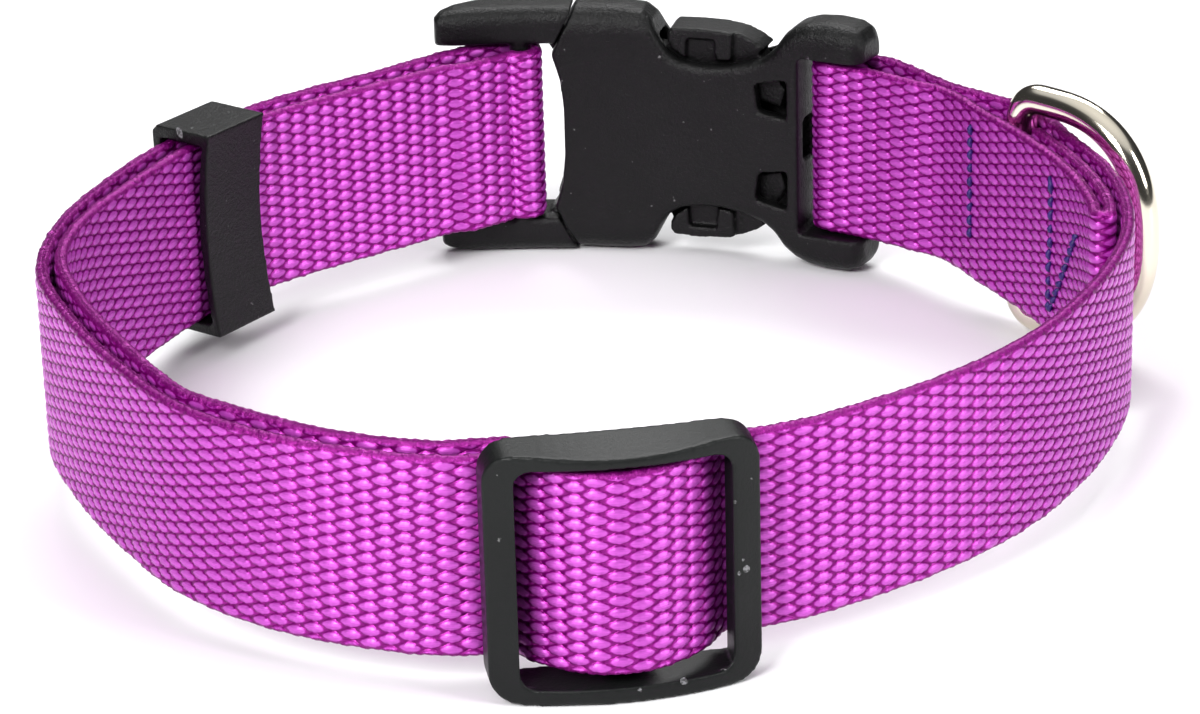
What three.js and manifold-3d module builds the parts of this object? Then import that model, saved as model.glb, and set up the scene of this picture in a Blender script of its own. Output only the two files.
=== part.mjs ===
// Dog collar: one strip of webbing, an adjuster slider, a keeper, a side release buckle and a lead ring.
// Millimetres. Z is up. The collar stands on its edge, the slider at -Y and the buckle at +Y.

import * as THREE from 'three';
import { mergeVertices } from 'three/addons/utils/BufferGeometryUtils.js';
import Module from 'manifold-3d';

const wasm = await Module();
wasm.setup();

// Webbing
const WEB_WIDTH = 25.4;
const WEB_THICK = 1.5;
const LOOP_LENGTH = 442;
const CLEARANCE = 0.3;
const PLY_GAP = 0.35;
const PLY = WEB_THICK + PLY_GAP;
const HALF_PLY = WEB_THICK / 2;

// Height of the webbing's lower edge where it passes the slider and the buckle
const RAIL_LIFT = 3.6;

// Slider
const SLIDER_WINDOW = 25.2;
const SLIDER_SIDE = 3.5;
const SLIDER_RAIL = 1.9;
const SLIDER_WIDTH = SLIDER_WINDOW + 2 * SLIDER_SIDE;
const WINDOW_PLAY = 0.45;
const WINDOW_TOP = RAIL_LIFT + WEB_WIDTH + WINDOW_PLAY;
const SLIDER_HEIGHT = WINDOW_TOP + SLIDER_RAIL;
const SLIDER_BACK = 3.0;
const SLIDER_FRONT = 4.9;
const SLIDER_BOW_RADIUS = 40;
const SLIDER_CORNER = 3.5;
const WINDOW_CORNER = 2;
const WINDOW_BACK_CORNER = 0.15;
const SLIDER_BAR_WIDTH = 4;
const SLIDER_BAR_THICK = 3;
const SLIDER_BAR_DEPTH = 0.7;
const SCOOP_DEPTH = 0.8;
const SCOOP_SKIN = 0.02;
const EDGE_RELIEF = 0.8;
const BAR_REACH = SLIDER_BAR_THICK / 2 + CLEARANCE + HALF_PLY;

// Buckle
const BUCKLE_HEIGHT = 37;
const BUCKLE_MIDDLE = BUCKLE_HEIGHT / 2;
const BUCKLE_BEND = 98;
const BUCKLE_HALF_THICK = 4.28;
const ARM_HEIGHT = 5.3;
const ARM_ROUND = 2.2;
const ARM_EDGE_ROUND = 0.8;
const BAR_RADIUS = 1.4;
const BAR_GAP = 0.36;
const WRAP_RADIUS = BAR_RADIUS + BAR_GAP + HALF_PLY;
const LATCH_BAR = { along: -18.3, depth: 2.85 };
const SOCKET_BAR = { along: 28, depth: -1 };
const SLOT_REACH = 3.8;
const SLOT_WALL = SOCKET_BAR.along - SLOT_REACH;
const CAVITY_HALF_THICK = 2.15;
const CAVITY_HALF_HEIGHT = 0.773 * BUCKLE_MIDDLE;
const GUIDE_HALF_THICK = 1.8;
const PRONG_HALF_THICK = CAVITY_HALF_THICK - CLEARANCE;
const PRONG_HALF_HEIGHT = CAVITY_HALF_HEIGHT - CLEARANCE;
const TAB_HALF_THICK = 2.9;
const BUCKLE_LIFT = (BUCKLE_HEIGHT - WEB_WIDTH) / 2;
const SLOT_CORNER = 0.5;

// Keeper
const KEEPER_TURN = -117;
const KEEPER_LENGTH = 12;
const KEEPER_PINCH = 0.3;
const KEEPER_WALL = 1.4;
const KEEPER_RAIL = 1.7;
const KEEPER_DEPTH = 5.75;
const KEEPER_BULGE = 1.4;

// Lead ring
const RING_TURN = 118.1;
const RING_WIRE = 4.2;
const RING_INNER = WEB_WIDTH + 2;
const RING_DEEP = 21;
const RING_DEPTH = 2.4;
const RING_HEADING = -44.5;
const RING_CORNER = 3.2;
const RING_LEG = 6;
const RING_SQUARENESS = 2.3;
const RING_REACH = RING_WIRE / 2 + CLEARANCE + HALF_PLY;

// Plan of the collar's outer face: turn in degrees from the front, reach as a share of the mean radius
const PLAN = [
  { turn: -180, reach: 0.887 },
  { turn: -160, reach: 0.924 },
  { turn: -140, reach: 0.935 },
  { turn: -120, reach: 0.989 },
  { turn: -100, reach: 1.053 },
  { turn: -80, reach: 1.137 },
  { turn: -60, reach: 1.146 },
  { turn: -40, reach: 1.195 },
  { turn: -20, reach: 1.173 },
  { turn: 0, reach: 1.095 },
  { turn: 20, reach: 0.999 },
  { turn: 40, reach: 0.941 },
  { turn: 60, reach: 0.9 },
  { turn: 80, reach: 0.89 },
  { turn: 100, reach: 0.876 },
  { turn: 120, reach: 0.857 },
  { turn: 140, reach: 0.881 },
  { turn: 160, reach: 0.941 },
];

// Height rise of the webbing's lower edge between the front and the back of the collar
const BACK_AT = 62;
const FRONT_AT = -79;
const BACK_RISE = BUCKLE_LIFT - RAIL_LIFT;

function edgeHeight(y) {
  return RAIL_LIFT + (BACK_RISE * (y - FRONT_AT)) / (BACK_AT - FRONT_AT);
}

const radians = THREE.MathUtils.degToRad;

function share(turn) {
  const step = 360 / PLAN.length;
  const place = (turn - PLAN[0].turn) / step;
  const row = Math.floor(place);
  const t = place - row;
  const at = (k) => PLAN[(((row + k) % PLAN.length) + PLAN.length) % PLAN.length].reach;
  const [a, b, c, d] = [at(-1), at(0), at(1), at(2)];
  const cubic = -a + 3 * b - 3 * c + d;
  const square = 2 * a - 5 * b + 4 * c - d;
  return 0.5 * (2 * b + (c - a) * t + square * t * t + cubic * t * t * t);
}

function planShape(turn) {
  const angle = radians(turn);
  const r = share(turn);
  return new THREE.Vector2(r * Math.sin(angle), -r * Math.cos(angle));
}

function outlineLength() {
  let length = 0;
  for (let turn = 0; turn < 360; turn += 1) {
    length += planShape(turn).distanceTo(planShape(turn + 1));
  }
  return length;
}

const MEAN_RADIUS = LOOP_LENGTH / outlineLength();

// A straight frame in plan: along, depth towards the neck, height
function straightFrame(origin, tangent) {
  const inward = new THREE.Vector2(-tangent.y, tangent.x);
  return (along, depth, height) => {
    const p = origin.clone().addScaledVector(tangent, along).addScaledVector(inward, depth);
    return new THREE.Vector3(p.x, p.y, height);
  };
}

function lineFrame(turn) {
  const before = planShape(turn - 1);
  const after = planShape(turn + 1);
  const origin = planShape(turn).multiplyScalar(MEAN_RADIUS);
  return straightFrame(origin, after.sub(before).normalize());
}

const SLIDER_TURN = -4;
const SLIDER_STAND_OFF = 0.5;
const SLIDER_HEADING = 9.2;

function headingVector(degrees) {
  return new THREE.Vector2(Math.cos(radians(degrees)), Math.sin(radians(degrees)));
}

const sliderSpot = lineFrame(SLIDER_TURN)(0, -SLIDER_STAND_OFF, 0);
const sliderFrame = straightFrame(
  new THREE.Vector2(sliderSpot.x, sliderSpot.y),
  headingVector(SLIDER_HEADING),
);

// The buckle's frame is bent to its own radius: along runs to the right seen from the neck
const BUCKLE_SPOT = new THREE.Vector2(0.6, 62.1);
const BUCKLE_HEADING = 78;
const buckleCentre = BUCKLE_SPOT.clone().addScaledVector(headingVector(BUCKLE_HEADING), -BUCKLE_BEND);

function buckleFrame(along, depth, height) {
  const angle = radians(BUCKLE_HEADING) - along / BUCKLE_BEND;
  const radius = BUCKLE_BEND - depth;
  const x = buckleCentre.x + radius * Math.cos(angle);
  const y = buckleCentre.y + radius * Math.sin(angle);
  return new THREE.Vector3(x, y, height);
}

// Route of the webbing's middle line, in the order of the strip

function onLine(rows) {
  return rows.map(({ turn, plies }) => lineFrame(turn)(0, HALF_PLY + plies * PLY, 0));
}

function roundRing(rows) {
  return rows.map(({ turn, reach }) => lineFrame(turn)(0, RING_DEPTH + reach * RING_REACH, 0));
}

function inBuckle(rows) {
  return rows.map(({ along, depth }) => buckleFrame(along, depth, 0));
}

function inSlider(rows) {
  const place = ({ across, rise }) =>
    sliderFrame((across * SLIDER_WINDOW) / 2, SLIDER_BAR_DEPTH - rise * BAR_REACH, 0);
  return rows.map(place);
}

function fold(frame, centre, radius, from, to) {
  const steps = Math.ceil(Math.abs(to - from) / 20);
  const points = [];
  for (let i = 0; i <= steps; i += 1) {
    const angle = radians(from + ((to - from) * i) / steps);
    const along = centre.along + radius * Math.cos(angle);
    const depth = centre.depth + radius * Math.sin(angle);
    points.push(frame(along, depth, 0));
  }
  return points;
}

function steady(from, to, plies) {
  const steps = Math.ceil(Math.abs(to - from) / 12);
  const rows = [];
  for (let i = 0; i <= steps; i += 1) {
    rows.push({ turn: from + ((to - from) * i) / steps, plies });
  }
  return onLine(rows);
}

// Stitched end: from its raw end forwards between the other two plies, to the turned end
const STITCHED_END = [
  { turn: 113.6, plies: 1.33 },
  { turn: 108, plies: 1.54 },
  { turn: 102.5, plies: 1.6 },
  { turn: 96, plies: 1.52 },
  { turn: 90, plies: 1.33 },
  { turn: 86, plies: 1.22 },
];
const TURNED_END = { turn: 83, plies: 1.73 };
const INNER_PLY = [
  { turn: 86, plies: 2.3 },
  { turn: 90, plies: 2.46 },
  { turn: 96, plies: 2.68 },
  { turn: 102.5, plies: 2.84 },
  { turn: 108, plies: 2.86 },
];
const INSIDE_RING = [
  { turn: 114, reach: 1.06 },
  { turn: 118.1, reach: 1.0 },
  { turn: 122, reach: 0.94 },
  { turn: 125.5, reach: 0.8 },
  { turn: 129.5, reach: 0.585 },
  { turn: 133.5, reach: 0.48 },
];
const INTO_SOCKET = [
  { along: 40.7, depth: 2.4 },
  { along: 36.9, depth: 1.95 },
  { along: 33, depth: 1.65 },
];
const OUT_OF_SOCKET = [
  { along: 32.3, depth: -3.72 },
  { along: 35.2, depth: -3.6 },
];
const OUTSIDE_RING = [
  { turn: 138.5, reach: -0.27 },
  { turn: 133.5, reach: -0.155 },
  { turn: 129.5, reach: -0.34 },
  { turn: 125.5, reach: -0.68 },
  { turn: 122, reach: -0.92 },
  { turn: 118.1, reach: -1.0 },
  { turn: 114.5, reach: -0.88 },
  { turn: 111, reach: -0.62 },
  { turn: 107, reach: -0.49 },
];

// Arch over the slider's bar: across as a share of the window's half width, rise as a share of the bar's reach
const ARCH = [
  { across: 1.35, rise: -1.353 },
  { across: 1.16, rise: -1.353 },
  { across: 1.03, rise: -1.333 },
  { across: 0.944, rise: -1.118 },
  { across: 0.889, rise: -0.745 },
  { across: 0.81, rise: -0.157 },
  { across: 0.665, rise: 0.569 },
  { across: 0.46, rise: 1.27 },
  { across: 0.23, rise: 1.76 },
  { across: 0, rise: 1.92 },
];
const mirrored = (rows) => rows.map((row) => ({ ...row, across: -row.across }));
const ARCH_BACK = mirrored(ARCH).reverse().slice(1);

const INTO_LATCH = [
  { along: -29.3, depth: 4.06 },
  { along: -23.4, depth: 1.25 },
];
const OUT_OF_LATCH = [
  { along: -22.4, depth: 7.1 },
  { along: -26.2, depth: 9.2 },
  { along: -29.8, depth: 9.8 },
];
const LEFT_INNER = [
  { turn: -147, plies: 2.24 },
  { turn: -140, plies: 2.3 },
  { turn: -132, plies: 2.25 },
  { turn: -124.5, plies: 1.97 },
  { turn: -117, plies: 1.86 },
  { turn: -108, plies: 1.92 },
  { turn: -100, plies: 1.76 },
  { turn: -93, plies: 1.32 },
  { turn: -86, plies: 1.22 },
  { turn: -80, plies: 1.32 },
  { turn: -74, plies: 1.6 },
  { turn: -66, plies: 1.57 },
  { turn: -58, plies: 1.57 },
  { turn: -52, plies: 1.54 },
  { turn: -46, plies: 1.46 },
  { turn: -42.5, plies: 1.76 },
  { turn: -40, plies: 1.99 },
  { turn: -34, plies: 2.09 },
  { turn: -28, plies: 2.07 },
  { turn: -21, plies: 2.07 },
];
const UNDER_BAR = [
  { across: -1.35, rise: -2.98 },
  { across: -1.16, rise: -2.98 },
  { across: -0.968, rise: -2.86 },
  { across: -0.794, rise: -2.47 },
  { across: -0.635, rise: -2.04 },
  { across: -0.476, rise: -1.65 },
  { across: -0.317, rise: -1.29 },
  { across: -0.159, rise: -1.08 },
  { across: 0, rise: -1.04 },
  { across: 0.095, rise: -1.03 },
  { across: 0.202, rise: -0.81 },
  { across: 0.248, rise: -0.28 },
  { across: 0.248, rise: 0.28 },
  { across: 0.202, rise: 0.81 },
  { across: 0.095, rise: 1.03 },
  { across: 0, rise: 1.04 },
  { across: -0.19, rise: 0.92 },
  { across: -0.365, rise: 0.51 },
  { across: -0.54, rise: -0.06 },
  { across: -0.675, rise: -0.667 },
  { across: -0.762, rise: -1.216 },
  { across: -0.857, rise: -1.765 },
  { across: -0.984, rise: -2.118 },
  { across: -1.16, rise: -2.176 },
  { across: -1.35, rise: -2.176 },
];
const LOOSE_END = [
  { turn: -21, plies: 1.03 },
  { turn: -29, plies: 1.03 },
  { turn: -37, plies: 1.02 },
];

const turnedCentre = { along: 0, depth: HALF_PLY + TURNED_END.plies * PLY };

const route = [
  ...onLine(STITCHED_END),
  ...fold(lineFrame(TURNED_END.turn), turnedCentre, PLY / 2, -90, -270),
  ...onLine(INNER_PLY),
  ...roundRing(INSIDE_RING),
  ...inBuckle(INTO_SOCKET),
  ...fold(buckleFrame, SOCKET_BAR, WRAP_RADIUS, 86, 265),
  ...inBuckle(OUT_OF_SOCKET),
  ...roundRing(OUTSIDE_RING),
  ...steady(99, 13, 0),
  ...inSlider(ARCH),
  ...inSlider(ARCH_BACK),
  ...steady(-21, -145, 0),
  ...inBuckle(INTO_LATCH),
  ...fold(buckleFrame, LATCH_BAR, WRAP_RADIUS, -100, 122),
  ...inBuckle(OUT_OF_LATCH),
  ...onLine(LEFT_INNER),
  ...inSlider(UNDER_BAR),
  ...onLine(LOOSE_END),
];

// Stops along the route: close together where it turns sharply
function stops(curve, step, sharpest, longest) {
  const count = Math.ceil(curve.getLength() / step);
  const all = curve.getSpacedPoints(count);
  const kept = [all[0]];
  let turned = 0;
  for (let i = 1; i < all.length - 1; i += 1) {
    const into = all[i].clone().sub(all[i - 1]);
    const out = all[i + 1].clone().sub(all[i]);
    turned += into.angleTo(out);
    const far = all[i].distanceTo(kept[kept.length - 1]) >= longest;
    if (turned >= sharpest || far) {
      kept.push(all[i]);
      turned = 0;
    }
  }
  kept.push(all[all.length - 1]);
  return kept;
}

const CURVE_SAMPLES = 6000;
const STOP_STEP = 0.2;
const STOP_TURN = radians(7);
const STOP_LENGTH = 3.2;

function strapGeometry() {
  const curve = new THREE.CatmullRomCurve3(route, false, 'centripetal');
  curve.arcLengthDivisions = CURVE_SAMPLES;
  const line = stops(curve, STOP_STEP, STOP_TURN, STOP_LENGTH);
  const left = [];
  const right = [];
  line.forEach((p, i) => {
    const before = line[Math.max(i - 1, 0)];
    const after = line[Math.min(i + 1, line.length - 1)];
    const along = new THREE.Vector2(after.x - before.x, after.y - before.y).normalize();
    left.push(new THREE.Vector2(p.x - along.y * HALF_PLY, p.y + along.x * HALF_PLY));
    right.push(new THREE.Vector2(p.x + along.y * HALF_PLY, p.y - along.x * HALF_PLY));
  });
  const outline = new THREE.Shape([...left, ...right.reverse()]);
  const geometry = new THREE.ExtrudeGeometry(outline, { depth: WEB_WIDTH, bevelEnabled: false });
  const position = geometry.getAttribute('position');
  for (let i = 0; i < position.count; i += 1) {
    position.setZ(i, position.getZ(i) + edgeHeight(position.getY(i)));
  }
  return tidy(geometry);
}

function tidy(geometry) {
  geometry.deleteAttribute('normal');
  geometry.deleteAttribute('uv');
  const merged = mergeVertices(geometry, 1e-4);
  merged.computeVertexNormals();
  return merged;
}

// Closed bodies from rows of points

function solid(points, faces) {
  let volume = 0;
  faces.forEach(([a, b, c]) => {
    volume += points[a].dot(new THREE.Vector3().crossVectors(points[b], points[c]));
  });
  const turned = volume < 0 ? faces.map(([a, b, c]) => [a, c, b]) : faces;
  const vertProperties = new Float32Array(points.flatMap((p) => [p.x, p.y, p.z]));
  const triVerts = new Uint32Array(turned.flat());
  return new wasm.Manifold(new wasm.Mesh({ numProp: 3, vertProperties, triVerts }));
}

const FINEST = 0.01;
const SHORTEST_EDGE = 0.04;

// Joins the ends of every edge shorter than the shortest allowed, and drops the faces that close up
function joinShortEdges(position, faces) {
  const joined = Array.from({ length: position.length / 3 }, (_, i) => i);
  const root = (i) => (joined[i] === i ? i : root(joined[i]));
  const corner = (i) => new THREE.Vector3().fromArray(position, 3 * i);
  faces.forEach((face) => {
    face.forEach((a, k) => {
      const b = face[(k + 1) % 3];
      if (corner(a).distanceTo(corner(b)) < SHORTEST_EDGE && root(a) !== root(b)) {
        joined[root(a)] = root(b);
      }
    });
  });
  const moved = faces.map((face) => face.map(root));
  const open = moved.filter(([a, b, c]) => a !== b && b !== c && c !== a);
  const key = (face) => [...face].sort((a, b) => a - b).join(' ');
  const seen = new Map();
  open.forEach((face) => seen.set(key(face), (seen.get(key(face)) || 0) + 1));
  return open.filter((face) => seen.get(key(face)) === 1);
}

function geometryOf(body) {
  const mesh = body.asOriginal().simplify(FINEST).getMesh();
  const faces = [];
  for (let i = 0; i < mesh.triVerts.length; i += 3) {
    faces.push(Array.from(mesh.triVerts.slice(i, i + 3)));
  }
  const kept = joinShortEdges(mesh.vertProperties, faces);
  const geometry = new THREE.BufferGeometry();
  geometry.setAttribute('position', new THREE.BufferAttribute(new Float32Array(mesh.vertProperties), 3));
  geometry.setIndex(new THREE.BufferAttribute(new Uint32Array(kept.flat()), 1));
  return tidy(geometry);
}

// Loft through rings of the same count, closed flat at both ends
function loft(rings) {
  const count = rings[0].length;
  const points = rings.flat();
  const faces = [];
  for (let i = 0; i < rings.length - 1; i += 1) {
    for (let k = 0; k < count; k += 1) {
      const a = i * count + k;
      const b = i * count + ((k + 1) % count);
      faces.push([a, b, a + count], [b, b + count, a + count]);
    }
  }
  const last = (rings.length - 1) * count;
  for (let k = 1; k < count - 1; k += 1) {
    faces.push([0, k + 1, k], [last, last + k, last + k + 1]);
  }
  return solid(points, faces);
}

const MAX_STEP = 2.5;

function subdivide(outline) {
  const points = [];
  outline.forEach(([x, y], i) => {
    const [nx, ny] = outline[(i + 1) % outline.length];
    const steps = Math.max(1, Math.ceil(Math.abs(nx - x) / MAX_STEP));
    for (let k = 0; k < steps; k += 1) {
      points.push(new THREE.Vector2(x + ((nx - x) * k) / steps, y + ((ny - y) * k) / steps));
    }
  });
  return points;
}

// Prism on an outline, from low to high along the third direction; place puts its points in the world
function prism(outline, low, high, place) {
  const flat = subdivide(outline);
  const count = flat.length;
  const points = [low, high].flatMap((level) => flat.map((p) => place(p.x, p.y, level)));
  const faces = [];
  THREE.ShapeUtils.triangulateShape(flat, []).forEach(([a, b, c]) => {
    faces.push([a, c, b], [a + count, b + count, c + count]);
  });
  const clockwise = THREE.ShapeUtils.isClockWise(flat);
  for (let k = 0; k < count; k += 1) {
    const next = (k + 1) % count;
    const [a, b] = clockwise ? [next, k] : [k, next];
    faces.push([a, b, b + count], [a, b + count, a + count]);
  }
  return solid(points, faces);
}

const throughDepth = (frame) => (along, height, depth) => frame(along, depth, height);
const upright = (frame) => (along, depth, height) => frame(along, depth, height);
const lengthwise = (frame) => (depth, height, along) => frame(along, depth, height);

const FAR = 14;

function band(frame, along, depth, height) {
  const outline = [
    [along[0], depth[0]],
    [along[1], depth[0]],
    [along[1], depth[1]],
    [along[0], depth[1]],
  ];
  return prism(outline, height[0], height[1], upright(frame));
}

// radius is one number, or one for the two upper corners and one for the two lower
function roundedBox(low, high, radius, steps) {
  const [upper, lower] = Array.isArray(radius) ? radius : [radius, radius];
  const corners = [
    [high[0] - upper, high[1] - upper, 0, upper],
    [low[0] + upper, high[1] - upper, 90, upper],
    [low[0] + lower, low[1] + lower, 180, lower],
    [high[0] - lower, low[1] + lower, 270, lower],
  ];
  return corners.flatMap(([x, y, from, corner]) => {
    const points = [];
    for (let k = 0; k <= steps; k += 1) {
      const angle = radians(from + (90 * k) / steps);
      points.push([x + corner * Math.cos(angle), y + corner * Math.sin(angle)]);
    }
    return points;
  });
}

function union(bodies) {
  return bodies.reduce((sum, body) => sum.add(body));
}

// Slider
function sliderGeometry() {
  const half = SLIDER_WIDTH / 2;
  const window = SLIDER_WINDOW / 2;
  const face = roundedBox([-half, 0], [half, SLIDER_HEIGHT], SLIDER_CORNER, 6);
  const bow = [];
  const bowSteps = 16;
  for (let i = 0; i <= bowSteps; i += 1) {
    const across = -half + (SLIDER_WIDTH * i) / bowSteps;
    const drop = SLIDER_BOW_RADIUS - Math.sqrt(SLIDER_BOW_RADIUS ** 2 - across ** 2);
    bow.push([across, -SLIDER_FRONT + drop]);
  }
  const section = [...bow, [half, SLIDER_BACK], [-half, SLIDER_BACK]];
  const block = prism(face, -FAR, FAR, throughDepth(sliderFrame)).intersect(
    prism(section, -1, SLIDER_HEIGHT + 1, upright(sliderFrame)),
  );
  const opening = roundedBox([-window, SLIDER_RAIL], [window, WINDOW_TOP], WINDOW_CORNER, 4);
  const backOpening = roundedBox(
    [-window, SLIDER_RAIL],
    [window, WINDOW_TOP],
    WINDOW_BACK_CORNER,
    2,
  );
  // The top is hollowed at its front edge and runs out flat at the back
  const scoopSteps = 13;
  const scoopHalf = window - WINDOW_CORNER;
  const scoopAt = (depth, deep) => {
    const ring = [];
    for (let i = 0; i <= scoopSteps; i += 1) {
      const across = -1 + (2 * i) / scoopSteps;
      ring.push(sliderFrame(across * scoopHalf, depth, SLIDER_HEIGHT + SCOOP_SKIN - deep * (1 - across ** 2)));
    }
    ring.push(sliderFrame(scoopHalf, depth, SLIDER_HEIGHT + 1), sliderFrame(-scoopHalf, depth, SLIDER_HEIGHT + 1));
    return ring;
  };
  const cuts = [
    prism(opening, -FAR, FAR, throughDepth(sliderFrame)),
    prism(backOpening, -SLIDER_FRONT / 2, FAR, throughDepth(sliderFrame)),
    loft([scoopAt(SLIDER_BACK + 1, SCOOP_DEPTH * 0.05), scoopAt(-SLIDER_FRONT - 2, SCOOP_DEPTH * 1.1)]),
  ];
  [-1, 1].forEach((side) => {
    const relief = [
      [side * (window - 1), SLIDER_BACK + 1],
      [side * (window + EDGE_RELIEF + 1), SLIDER_BACK + 1],
      [side * (window - 1), SLIDER_BACK - EDGE_RELIEF - 1],
    ];
    cuts.push(prism(relief, SLIDER_RAIL, WINDOW_TOP, upright(sliderFrame)));
  });
  const barHalf = SLIDER_BAR_WIDTH / 2;
  const barBack = SLIDER_BAR_DEPTH + SLIDER_BAR_THICK / 2;
  const barFront = SLIDER_BAR_DEPTH - SLIDER_BAR_THICK / 2;
  const bar = roundedBox([-barHalf, barFront], [barHalf, barBack], 0.8, 3);
  const barBody = prism(bar, SLIDER_RAIL / 2, SLIDER_HEIGHT - SLIDER_RAIL, upright(sliderFrame));
  return geometryOf(block.subtract(union(cuts)).add(barBody));
}

// Keeper
function keeperGeometry() {
  const frame = lineFrame(KEEPER_TURN);
  const low = edgeHeight(frame(0, 0, 0).y) - CLEARANCE;
  const high = low + WEB_WIDTH + 2 * CLEARANCE;
  const loopSide = (grow, steps) => {
    const side = [];
    for (let i = 0; i <= steps; i += 1) {
      const level = -1 + (2 * i) / steps;
      const height = low - grow * KEEPER_RAIL + ((level + 1) / 2) * (high - low + 2 * grow * KEEPER_RAIL);
      side.push([KEEPER_DEPTH + KEEPER_BULGE * level ** 2 + grow * KEEPER_WALL, height]);
    }
    return side;
  };
  const outer = -CLEARANCE - KEEPER_WALL;
  const round = 0.9;
  const shell = [
    [outer + round, high + KEEPER_RAIL],
    [outer, high + KEEPER_RAIL - round],
    [outer, low - KEEPER_RAIL + round],
    [outer + round, low - KEEPER_RAIL],
    ...loopSide(1, 10),
  ];
  const hollow = [[-CLEARANCE, high], [-CLEARANCE, low], ...loopSide(0, 10)];
  const half = KEEPER_LENGTH / 2;
  const waist = [];
  const waistSteps = 8;
  for (let i = 0; i <= waistSteps; i += 1) {
    const level = -1 + (2 * i) / waistSteps;
    const height = BUCKLE_MIDDLE + (level * BUCKLE_HEIGHT) / 2;
    waist.push([half - KEEPER_PINCH * (1 - level ** 2), height]);
  }
  const outline = [...waist, ...[...waist].reverse().map(([along, height]) => [-along, height])];
  const body = prism(shell, -half, half, lengthwise(frame))
    .subtract(prism(hollow, -FAR, FAR, lengthwise(frame)))
    .intersect(prism(outline, -FAR, FAR, throughDepth(frame)));
  return geometryOf(body);
}

// Buckle sections: along in mm, half height as a share of the buckle's, depths as shares of half thickness
const SOCKET_SECTIONS = [
  { along: -15, tall: 1.0, outer: -1.0, inner: 1.0, round: 3.4 },
  { along: -9, tall: 1.0, outer: -1.0, inner: 1.0, round: 3.4 },
  { along: -3, tall: 1.0, outer: -1.0, inner: 1.0, round: 3.2 },
  { along: 0, tall: 0.975, outer: -1.0, inner: 1.0, round: 2.8 },
  { along: 1.4, tall: 0.9, outer: -1.0, inner: 1.0, round: 2.2 },
  { along: 2.4, tall: 0.79, outer: -1.0, inner: 1.0, round: 1.6 },
  { along: 3.8, tall: 0.665, outer: -1.0, inner: 1.0, round: 1.3 },
  { along: 5.6, tall: 0.605, outer: -1.0, inner: 1.0, round: 1.2 },
  { along: 9, tall: 0.578, outer: -1.0, inner: 1.0, round: 1.2 },
  { along: 12.2, tall: 0.584, outer: -1.0, inner: 1.0, round: 1.2 },
  { along: 16.1, tall: 0.627, outer: -1.0, inner: 1.0, round: 1.3 },
  { along: 18.5, tall: 0.676, outer: -1.0, inner: 1.0, round: 1.5 },
  { along: 20.2, tall: 0.755, outer: -1.0, inner: 1.0, round: 1.9 },
  { along: 21.7, tall: 0.875, outer: -1.0, inner: 1.0, round: 2.4 },
  { along: 23.3, tall: 0.945, outer: -1.0, inner: 1.0, round: 2.7 },
  { along: 25.4, tall: 0.985, outer: -1.0, inner: 1.0, round: 2.7 },
  { along: 28.4, tall: 1.0, outer: -1.0, inner: 1.0, round: 2.7 },
  { along: 31.6, tall: 0.99, outer: -0.97, inner: 0.98, round: 2.6 },
  { along: 33.2, tall: 0.955, outer: -0.85, inner: 0.88, round: 2.3 },
  { along: 34.2, tall: 0.88, outer: -0.55, inner: 0.6, round: 1.6 },
];
const LATCH_SECTIONS = [
  { along: -30.6, tall: 0.93, outer: 0.3, inner: 0.78, round: 0.9 },
  { along: -29.6, tall: 0.965, outer: -0.1, inner: 0.9, round: 1.6 },
  { along: -27.6, tall: 0.99, outer: -0.42, inner: 0.98, round: 2.1 },
  { along: -24.6, tall: 1.0, outer: -0.7, inner: 1.0, round: 2.6 },
  { along: -20.5, tall: 1.0, outer: -0.9, inner: 1.0, round: 3.0 },
  { along: -16, tall: 1.0, outer: -1.0, inner: 1.0, round: 3.4 },
  { along: -9, tall: 1.0, outer: -1.0, inner: 1.0, round: 3.4 },
];

// Outlines on the buckle's face: along in mm, tall as a share of its half height
const MOUTH = [
  { along: -10.4, tall: 1.06 },
  { along: -10.5, tall: 0.97 },
  { along: -13.8, tall: 0.63 },
  { along: -12.6, tall: 0.42 },
  { along: -12.1, tall: 0.18 },
];
const SEAM_GAP = 0.3;
const TAB = [
  { along: 4.8, tall: 0.668 },
  { along: 3.8, tall: 0.74 },
  { along: 3.7, tall: 0.81 },
  { along: 4.4, tall: 0.85 },
  { along: 8, tall: 0.857 },
  { along: 12, tall: 0.848 },
  { along: 14.5, tall: 0.825 },
  { along: 16.8, tall: 0.77 },
  { along: 18.2, tall: 0.715 },
  { along: 17.2, tall: 0.68 },
  { along: 15.6, tall: 0.65 },
  { along: 12.2, tall: 0.61 },
  { along: 9, tall: 0.602 },
  { along: 6.2, tall: 0.622 },
];
const WINDOWS = [
  { along: 17.36, tall: 0.472 },
  { along: 22.43, tall: 0.528 },
  { along: 22.46, tall: 0.212 },
  { along: 17.93, tall: 0.252 },
];

function sectionRing(row, low, high, frame) {
  const depths = [row.outer * BUCKLE_HALF_THICK, row.inner * BUCKLE_HALF_THICK];
  const outline = roundedBox([depths[0], low], [depths[1], high], row.round, 4);
  return outline.map(([depth, height]) => frame(row.along, depth, height));
}

function level(tall) {
  return BUCKLE_MIDDLE * (1 + tall);
}

const faceRows = (rows, side) => rows.map(({ along, tall }) => [along, level(side * tall)]);

// The mouth line from top to bottom, moved along by shift
function mouthLine(shift) {
  const top = faceRows(MOUTH, 1);
  const bottom = faceRows([...MOUTH].reverse(), -1);
  return [...top, ...bottom].map(([along, height]) => [along + shift, height]);
}

function barBody(centre) {
  const sides = 24;
  const outline = [];
  for (let k = 0; k < sides; k += 1) {
    const angle = radians((360 * k) / sides);
    outline.push([
      centre.along + BAR_RADIUS * Math.cos(angle),
      centre.depth + BAR_RADIUS * Math.sin(angle),
    ]);
  }
  return prism(outline, ARM_HEIGHT / 2, BUCKLE_HEIGHT - ARM_HEIGHT / 2, upright(buckleFrame));
}

const CUT_REACH = BUCKLE_HALF_THICK + 1;

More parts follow.
